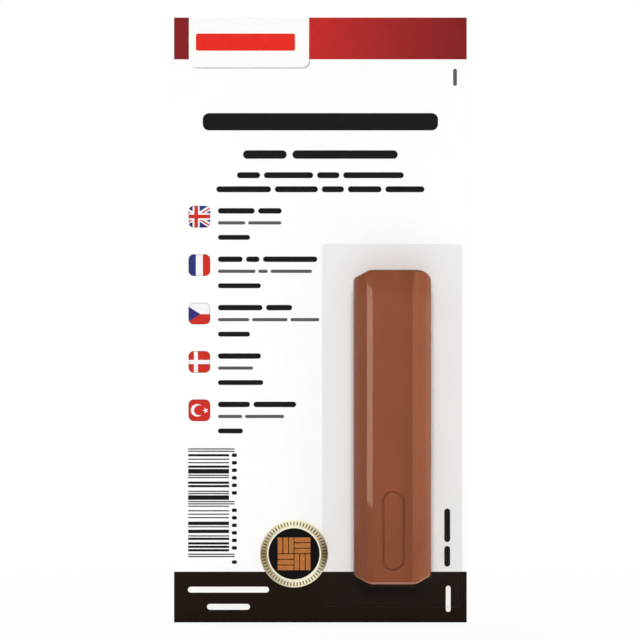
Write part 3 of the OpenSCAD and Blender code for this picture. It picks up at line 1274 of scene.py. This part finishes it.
class WAXCARD_OT_stick(bpy.types.Operator):
    """Models the faceted wax bar with its sunk mark"""
    bl_idname = "wax_card.stick"
    bl_label = "Wax stick"

    def execute(self, context):
        wax = context.scene.wax_settings
        low, high = STICK_LOW, STICK_HIGH
        stick = new_boxes("wax_bar", (low, high))
        trim_bar(low, high, wax, wax.side_round)
        trim_side(low, high, 2, 1, head_steps(low, high, wax))
        lean = wax.draft / (high.y - low.y)
        for x_end, z_end in ((-1, -1), (1, -1), (-1, 1)):
            trim_corner(low, high, x_end, z_end, wax.corner_w, wax.corner_l, wax.corner_ease, lean)
        trim_corner(low, high, 1, 1, wax.blunt_w, wax.blunt_l, wax.blunt_ease, lean)
        merge(CAST_EDGE)
        self.soften(wax)
        cut_away(stick, self.mark(wax))
        finishes = [
            satin_wax("satin_wax", wax.brown, wax), satin_wax("painted_highlight_wax", wax.painted_foot_highlight, wax)]
        dress(stick, finishes, "stick", "wax_stick", smooth=40)
        apply(stick, "WEIGHTED_NORMAL", keep_sharp=True)
        # The foot's round front edge and its cut corners get the paler wax copy: a painted highlight
        paint(stick, lambda face: self.on_foot_rim(face, wax, low, high))
        return {"FINISHED"}

    def soften(self, wax):
        """Rounds the bar in edit mode: its rim, then the edges between its facets."""

        def facet_edge(edge):
            fronts = all(face.normal.y < -WALL_SHARE for face in edge.link_faces)
            return fronts and edge.calc_face_angle() > FACET_TURN

        def rim_edge(edge):
            depths = sorted(face.normal.y for face in edge.link_faces)
            walled = depths[0] < -WALL_SHARE and abs(depths[1]) < WALL_SHARE
            return walled and edge.calc_face_angle() > 2 * FACET_TURN

        pick("EDGE", facet_edge)
        bpy.ops.mesh.mark_seam()
        for test, width in ((rim_edge, wax.rim_round), (lambda edge: edge.seam, wax.softness)):
            bevel(test, width, steps=4)
            merge(SLIVER)
        bpy.ops.mesh.mark_seam(clear=True)

    def on_foot_rim(self, face, wax, low, high):
        """True for the round front edge of the foot and of its two cut corners, where a highlight is
        painted.
        """
        spot = face.center
        across_in = min(spot.x - low.x, high.x - spot.x)
        up_in = spot.z - low.z
        cut_in = across_in * wax.corner_l + up_in * wax.corner_w - wax.corner_l * wax.corner_w
        cut_in /= math.hypot(wax.corner_l, wax.corner_w)
        near = up_in < wax.draft + wax.foot_bevel_l or cut_in < wax.draft + wax.rim_round
        steepest, flattest = -0.15, -0.97
        return flattest < face.normal.y < steepest and near and spot.z < 0

    def mark(self, wax):
        """A round tool along a long ring, which sinks the mark's groove."""
        half_chord = wax.mark_groove / 2
        tool = (half_chord ** 2 + wax.mark_depth ** 2) / (2 * wax.mark_depth)
        place = Vector((
            (STICK_LOW.x + STICK_HIGH.x) / 2, STICK_LOW.y + wax.mark_depth - tool,
            STICK_LOW.z + wax.mark_rise))
        begin()
        bpy.ops.mesh.primitive_torus_add(
            major_segments=64, minor_segments=24, major_radius=(wax.mark_w - wax.mark_groove) / 2,
            minor_radius=tool, location=place, rotation=FACING)
        ring = named("mark_tool")
        edit(ring)
        stretch = (wax.mark_l - wax.mark_w) / 2
        pick("VERT", lambda corner: corner.co.z > place.z - HAIR)
        bpy.ops.transform.translate(value=(0, 0, stretch))
        pick("VERT", lambda corner: corner.co.z < place.z)
        bpy.ops.transform.translate(value=(0, 0, -stretch))
        return ring


class WAXCARD_OT_pocket(bpy.types.Operator):
    """Models the clear film pocket: a flange on the card and an open channel for the stick"""
    bl_idname = "wax_card.pocket"
    bl_label = "Clear pocket"

    def execute(self, context):
        pocket = context.scene.pocket_settings
        wax = context.scene.wax_settings
        grow = pocket.gap + POCKET_HIGH.y - CARD_FACE + pocket.wall
        skin_y = CARD_FACE - pocket.skin
        mouth = STICK_HIGH.z - pocket.proud
        low = Vector((STICK_LOW.x - grow, POCKET_LOW.y, STICK_LOW.z - grow))
        high = Vector((STICK_HIGH.x + grow, skin_y, mouth))
        channel = self.channel(low, high, wax)
        film = self.flange(low, high, skin_y, wax)
        hold(film)
        channel.select_set(True)
        bpy.ops.object.join()
        edit(film)
        merge(FILM_SEAM)
        face_out()
        mesh = bmesh.from_edit_mesh(film.data)
        if sum(face.normal.y * face.calc_area() for face in mesh.faces) > 0:
            bpy.ops.mesh.flip_normals()
        sides = (POCKET_LOW.x, POCKET_HIGH.x)
        ends = (POCKET_LOW.z, POCKET_HIGH.z)

        def sheet_corner(corner):
            return at(corner.co.x, *sides) and at(corner.co.z, *ends)

        def bend(edge):
            return len(edge.link_faces) == 2 and edge.calc_face_angle() > BEND_TURN

        bevel(sheet_corner, pocket.corner, steps=4, kind="VERT")
        bevel(bend, pocket.bend, steps=3, clamp=True)
        apply(film, "SOLIDIFY", thickness=pocket.film, offset=-1.0, use_even_offset=True)
        cut_away(film, self.seal_relief(pocket))
        finishes = [clear_film(pocket), film_edge(pocket)]
        dress(film, finishes, "card", "clear_pocket", smooth=40)
        apply(film, "WEIGHTED_NORMAL", keep_sharp=True)
        paint(film, lambda face: at(face.center.x, *sides) or at(face.center.z, mouth, *ends))
        return {"FINISHED"}

    def channel(self, low, high, wax):
        """The channel round the stick, open at its base and its mouth."""
        channel = new_boxes("film_channel", (low, high))
        trim_bar(low, high, wax)
        for x_end in (-1, 1):
            trim_corner(low, high, x_end, -1, wax.corner_w, wax.corner_l)
        merge(SHORT_EDGE)
        pick("FACE", lambda face: max(face.normal.y, face.normal.z) > OPEN_SHARE)
        bpy.ops.mesh.delete(type="FACE")
        return channel

    def flange(self, low, high, skin_y, wax):
        """The flat sheet on the card, open under the channel."""
        begin()
        size = POCKET_HIGH - POCKET_LOW
        centre = (POCKET_LOW + POCKET_HIGH) / 2
        centre.y = skin_y
        bpy.ops.mesh.primitive_plane_add(size=1, location=centre, rotation=FACING)
        bpy.context.object.scale = (size.x, size.z, 1)
        sheet = named("film_pocket")
        edit(sheet)
        for normal in ((1, 0, 0), (0, 0, 1)):
            split(low, normal)
            split(high, normal)
        hole = (low + high) / 2

        def under(face):
            spot = middle(face)
            return low.x < spot.x < high.x and low.z < spot.z < high.z

        for end in (-1, 1):
            side = high.x if end > 0 else low.x
            pick("FACE", under)
            bpy.ops.mesh.bisect(
                plane_co=(side - end * wax.corner_w, 0, low.z),
                plane_no=(end * wax.corner_l, 0, -wax.corner_w), threshold=HAIR)
        pick("FACE", lambda face: under(face) and abs(middle(face).x - hole.x) < wax.corner_w)
        bpy.ops.mesh.delete(type="FACE")
        return sheet

    def seal_relief(self, pocket):
        """A round cutter that keeps the flange clear of the foil seal."""
        centre = (SEAL_LOW + SEAL_HIGH) / 2
        radius = (SEAL_HIGH.x - SEAL_LOW.x) / 2 + pocket.gap
        return new_cylinder("relief_tool", radius, RELIEF_DEPTH, centre)


class WAXCARD_OT_spatula(bpy.types.Operator):
    """Models the flat spatula that lies behind the stick"""
    bl_idname = "wax_card.spatula"
    bl_label = "Spatula"

    def execute(self, context):
        spatula = context.scene.spatula_settings
        low, high = SPATULA_LOW, SPATULA_HIGH
        middle_x = (low.x + high.x) / 2
        handle_r = spatula.handle_w / 2
        begin()
        round_z = high.z - handle_r
        bpy.ops.mesh.primitive_circle_add(
            vertices=48, radius=handle_r, fill_type="NGON", location=(middle_x, high.y, round_z),
            rotation=FACING)
        piece = named("spatula_body")
        edit(piece)
        split((0, 0, round_z), (0, 0, -1), clear_outer=True)
        blade_share = (high.x - low.x) / spatula.handle_w
        neck_z = low.z + spatula.blade_l
        handle_z = neck_z + spatula.neck_l
        taper_z = low.z + spatula.taper_l
        stations = ((round_z, handle_z, 1.0), (handle_z, neck_z, blade_share),
                    (neck_z, taper_z, 1.0), (taper_z, low.z, 1.0))
        for start, end, widen in stations:
            pick("EDGE", lambda edge: all(at(corner.co.z, start) for corner in edge.verts))
            extrude(0, 0, end - start)
            bpy.ops.transform.resize(value=(widen, 1, 1), center_override=(middle_x, 0, 0))
        pick_all()
        extrude(0, low.y - high.y, 0)
        face_out()
        pick("VERT", lambda corner: at(corner.co.z, low.z) and at(corner.co.y, low.y))
        bpy.ops.transform.translate(value=(0, high.y - low.y - spatula.edge_t, 0))
        cut_away(piece, self.grooves(spatula, low, high, round_z))
        apply(piece, "BEVEL", width=spatula.softness, segments=2, limit_method="ANGLE",
              angle_limit=math.radians(40))
        dress(piece, [moulded_ivory(spatula)], "spatula", "spatula", smooth=35)
        return {"FINISHED"}

    def grooves(self, spatula, low, high, round_z):
        """Bars that cut the grip grooves across the handle."""
        floor = low.y + spatula.groove_depth
        bars = []
        for groove in range(spatula.groove_count):
            foot = round_z - spatula.groove_w - groove * spatula.groove_pitch
            bars.append(((low.x, low.y - OVERRUN, foot), (high.x, floor, foot + spatula.groove_w)))
        return new_boxes("groove_tool", *bars)


class WAXCARD_OT_seal(bpy.types.Operator):
    """Models the round foil seal with its rim, ticks and parquet"""
    bl_idname = "wax_card.seal"
    bl_label = "Foil seal"

    def execute(self, context):
        seal = context.scene.seal_settings
        centre = (SEAL_LOW + SEAL_HIGH) / 2
        radius = (SEAL_HIGH.x - SEAL_LOW.x) / 2
        front = SEAL_LOW.y
        self.disc(seal, centre, radius, front)
        self.ticks(seal, centre, radius, front)
        self.parquet(seal, centre, front)
        return {"FINISHED"}

    def disc(self, seal, centre, radius, front):
        """The disc with its raised rim and the cream line inside it."""
        place = (centre.x, (front + SEAL_HIGH.y) / 2, centre.z)
        piece = new_cylinder("seal_disc", radius, SEAL_HIGH.y - front, place)
        pick("FACE", lambda face: face.normal.y < -FLAT_SHARE)
        bpy.ops.mesh.inset(thickness=seal.rim_w - seal.border_w)
        bpy.ops.mesh.inset(thickness=seal.border_w)
        extrude(0, seal.rim_h, 0)

        def reach(spot):
            return math.hypot(spot.x - centre.x, spot.z - centre.z)

        border_r = radius - seal.rim_w + seal.border_w

        def rim_edge(edge):
            start, end = (corner.co for corner in edge.verts)
            level = max(start.y, end.y) < front + HAIR and at(reach(start), reach(end))
            return level and not at(reach(start), border_r)

        bevel(rim_edge, seal.rim_round, steps=3)
        face_out()
        finishes = [
            painted_sheen_gold(seal, centre, radius), enamel("cream_line", seal.cream),
            enamel("dark_field", seal.field)]
        dress(piece, finishes, "card", "foil_seal", smooth=50)
        gold, cream, field = range(3)

        def choose(face):
            if face.normal.y > -RIM_SHARE:
                return gold
            if face.center.y > front + seal.rim_h - SAME:
                return field
            corner = piece.data.vertices[face.vertices[0]].co
            return cream if max(reach(face.center), reach(corner)) < border_r + SAME else gold

        paint(piece, choose)

    def ticks(self, seal, centre, radius, front):
        """Fine dark ticks round the gold rim."""
        mid_r = radius - (seal.rim_w - seal.border_w) / 2
        low = (centre.x - seal.tick_w / 2, front - TICK_RISE, centre.z + mid_r - seal.tick_l / 2)
        high = (centre.x + seal.tick_w / 2, front + TICK_ROOT, centre.z + mid_r + seal.tick_l / 2)
        piece = new_boxes("seal_ticks", (low, high))
        round_corners(seal.tick_round, steps=2)
        pick_all()
        count = seal.tick_count
        bpy.ops.mesh.spin(
            steps=count - 1, dupli=True, angle=2 * math.pi * (count - 1) / count,
            center=centre, axis=(0, 1, 0))
        face_out()
        dress(piece, [enamel("tick_umber", seal.umber)], "card")

    def parquet(self, seal, centre, front):
        """Four blocks of three planks, laid crosswise in turn."""
        field_y = front + seal.rim_h
        face_y = field_y - PLANK_RISE
        root_y = field_y + PLANK_ROOT
        planks = 3
        near = seal.plank_gap / 2
        far = seal.tile - near
        level = []
        upright = []
        for column in (-1, 0):
            for row in (-1, 0):
                left = centre.x + column * seal.tile
                foot = centre.z + row * seal.tile
                for count in range(planks):
                    start = count * seal.tile / planks + near
                    end = (count + 1) * seal.tile / planks - near
                    if column == row:
                        low, high = (left + near, face_y, foot + start), (left + far, root_y, foot + end)
                        level.append((low, high))
                    else:
                        low, high = (left + start, face_y, foot + near), (left + end, root_y, foot + far)
                        upright.append((low, high))
        for name, boxes, along in (("level", level, 0), ("upright", upright, 2)):
            piece = new_boxes(f"seal_planks_{name}", *boxes)
            round_corners(seal.plank_round, steps=2)
            dress(piece, [wood_grain(f"plank_{name}", seal.wood, along)], "card")


class WAXCARD_OT_stage(bpy.types.Operator):
    """Sets up the floor, the lamps, the white surroundings and the camera"""
    bl_idname = "wax_card.stage"
    bl_label = "Studio stage"

    def execute(self, context):
        stage = context.scene.stage_settings
        context.scene.view_settings.view_transform = "Standard"
        self.floor(stage)
        self.surroundings(context.scene, stage)
        bar = bpy.data.objects["wax_bar"]
        lit_bar = self.group("lit_bar", [bar])
        lit_rest = self.group("lit_rest", [piece for piece in bpy.data.objects if piece is not bar])
        self.card_lamps(stage, lit_rest)
        self.stick_lamps(stage, lit_bar)
        self.strips(context.scene.wax_settings, stage, lit_bar)
        self.camera(context.scene, stage)
        return {"FINISHED"}

    def card_lamps(self, stage, lit):
        """Lamps before, beside and behind the card, their places in metres."""
        aim = (0, 0, 0)
        self.lamp("key_lamp", (0.02, -2.0, 0.5), aim, (0.5, 0.5), stage.key, lit)
        for side in (-1, 1):
            place = (1.5 * side, 0.15, 0.25)
            self.lamp("side_lamp", place, aim, (0.8, 0.8), stage.side, lit)
        self.lamp("rear_lamp", (-0.8, 1.6, 0.9), aim, (1.2, 1.2), stage.rear)

    def stick_lamps(self, stage, lit):
        """Soft lamps for the bar alone, each a step in metres from its middle."""
        stick = (STICK_LOW + STICK_HIGH) / 2
        lamps = (
            ("stick_right_lamp", (1.0, -0.75, -1.0), stage.stick_right),
            ("stick_left_lamp", (-1.45, -0.39, -0.25), stage.stick_left),
            ("stick_rear_lamp", (0.0, 1.2, 0.9), stage.stick_rear),
        )
        for name, step, power in lamps:
            self.lamp(name, stick + Vector(step), stick, (0.8, 0.8), power, lit)

    def strips(self, wax, stage, lit):
        """Strips whose warm shine shows on the bar's two crowns and its right edge, placed in metres."""
        stick = (STICK_LOW + STICK_HIGH) / 2
        lean = 2 * math.atan2(wax.crown_h, wax.crown_w)
        slant = -stage.strip_slant
        crown_in = 4 * MM
        crown_away = 0.5
        left_z = -0.0245
        edge_z = -0.02
        edge_back = 3 * MM
        left = Vector((STICK_LOW.x + crown_in, STICK_LOW.y, left_z))
        left_step = crown_away * Vector((-math.sin(lean), -math.cos(lean), 0))
        left_size = (0.05, 0.076 * math.cos(slant))
        right = Vector((STICK_HIGH.x - crown_in, STICK_LOW.y, stick.z))
        right_step = crown_away * Vector((math.sin(lean), -math.cos(lean), 0))
        edge = Vector((STICK_HIGH.x, STICK_LOW.y + edge_back, edge_z))
        edge_step = Vector((0.49, 0.078, 0))
        strips = (
            ("stick_left_strip", left, left_step, left_size, stage.strip_left, slant),
            ("stick_faint_strip", right, right_step, (0.04, 0.14), stage.strip_faint, 0.0),
            ("stick_right_strip", edge, edge_step, (0.22, 0.058), stage.strip_right, 0.0),
        )
        for name, aim, step, size, power, turn in strips:
            self.lamp(name, aim + step, aim, size, power, lit, stage.strip_tone, turn)

    def floor(self, stage):
        """The floor that the card stands on, its side in metres."""
        begin()
        side = 1.2
        bpy.ops.mesh.primitive_plane_add(size=side, location=(0, 0, CARD_LOW.z))
        floor = named("studio_floor")
        floor.data.materials.append(studio_floor(stage).material)

    def surroundings(self, scene, stage):
        """White to the camera, to shine and through glass; soft light to everything else."""
        world = bpy.data.worlds.new("studio_white")
        scene.world = world
        world.use_nodes = True
        tree = world.node_tree
        soft = tree.nodes["Background"]
        white = tree.nodes.new("ShaderNodeBackground")
        for shader, strength in ((soft, stage.ambient), (white, 1.0)):
            shader.inputs["Color"].default_value = (*PURE_WHITE, 1)
            shader.inputs["Strength"].default_value = strength
        rays = tree.nodes.new("ShaderNodeLightPath")
        seen = rays.outputs["Is Camera Ray"]
        for ray in ("Is Glossy Ray", "Is Transmission Ray"):
            either = tree.nodes.new("ShaderNodeMath")
            either.operation = "MAXIMUM"
            tree.links.new(seen, either.inputs[0])
            tree.links.new(rays.outputs[ray], either.inputs[1])
            seen = either.outputs[0]
        blend_to(tree, "World Output", seen, soft, white)

    def group(self, name, pieces):
        """Pieces that a lamp shines on alone."""
        group = bpy.data.collections.new(name)
        for piece in pieces:
            group.objects.link(piece)
        return group

    def lamp(self, name, place, aim, size, power, group=None, shine=None, slant=0.0):
        """An area lamp aimed at a place, which may light one group alone, or show in shine in a colour."""
        begin()
        place = Vector(place)
        turn = (Vector(aim) - place).to_track_quat("-Z", "Y") @ Quaternion((0, 0, 1), slant)
        bpy.ops.object.light_add(type="AREA", location=place, rotation=turn.to_euler())
        lamp = bpy.context.object
        lamp.name = name
        lamp.data.shape = "RECTANGLE"
        lamp.data.size, lamp.data.size_y = size
        lamp.data.energy = power
        lamp.visible_camera = False
        lamp.visible_glossy = shine is not None
        if shine:
            lamp.data.color = shine
        if group:
            lamp.light_linking.receiver_collection = group
        if group and name.startswith("stick"):
            lamp.light_linking.blocker_collection = group

    def camera(self, scene, stage):
        """The camera, square to the card, with a sensor 36 mm wide."""
        begin()
        sensor = 36.0
        distance = stage.frame_w * stage.lens / sensor
        bpy.ops.object.camera_add(
            location=(-stage.aim, CARD_FACE - distance, 0), rotation=FACING)
        camera = bpy.context.object
        camera.name = "studio_camera"
        camera.data.lens = stage.lens
        camera.data.sensor_width = sensor
        camera.data.clip_start = 0.05
        camera.data.dof.use_dof = False
        scene.camera = camera


OPERATORS = (
    WAXCARD_OT_board,
    WAXCARD_OT_bands,
    WAXCARD_OT_lines,
    WAXCARD_OT_bar_code,
    WAXCARD_OT_flags,
    WAXCARD_OT_stick,
    WAXCARD_OT_pocket,
    WAXCARD_OT_spatula,
    WAXCARD_OT_seal,
    WAXCARD_OT_stage,
)


class WAXCARD_PT_panel(bpy.types.Panel):
    """Lists the steps that build the carded wax stick"""
    bl_idname = "WAXCARD_PT_panel"
    bl_label = "Carded wax stick"
    bl_space_type = "VIEW_3D"
    bl_region_type = "UI"
    bl_category = "Wax stick"

    def draw(self, context):
        for operator in OPERATORS:
            self.layout.operator(operator.bl_idname)
        for name, group in SETTINGS.items():
            box = self.layout.box()
            settings = getattr(context.scene, name)
            for setting in group.__annotations__:
                box.prop(settings, setting)


CLASSES = (*SETTINGS.values(), *OPERATORS, WAXCARD_PT_panel)


def register():
    for item in CLASSES:
        bpy.utils.register_class(item)
    for name, group in SETTINGS.items():
        setattr(bpy.types.Scene, name, bpy.props.PointerProperty(type=group))


def unregister():
    for name in SETTINGS:
        delattr(bpy.types.Scene, name)
    for item in reversed(CLASSES):
        bpy.utils.unregister_class(item)


def main():
    register()
    bpy.ops.wax_card.board()
    bpy.ops.wax_card.bands()
    bpy.ops.wax_card.lines()
    bpy.ops.wax_card.bar_code()
    bpy.ops.wax_card.flags()
    bpy.ops.wax_card.stick()
    bpy.ops.wax_card.pocket()
    bpy.ops.wax_card.spatula()
    bpy.ops.wax_card.seal()
    bpy.ops.wax_card.stage()


if __name__ == "__main__":
    main()
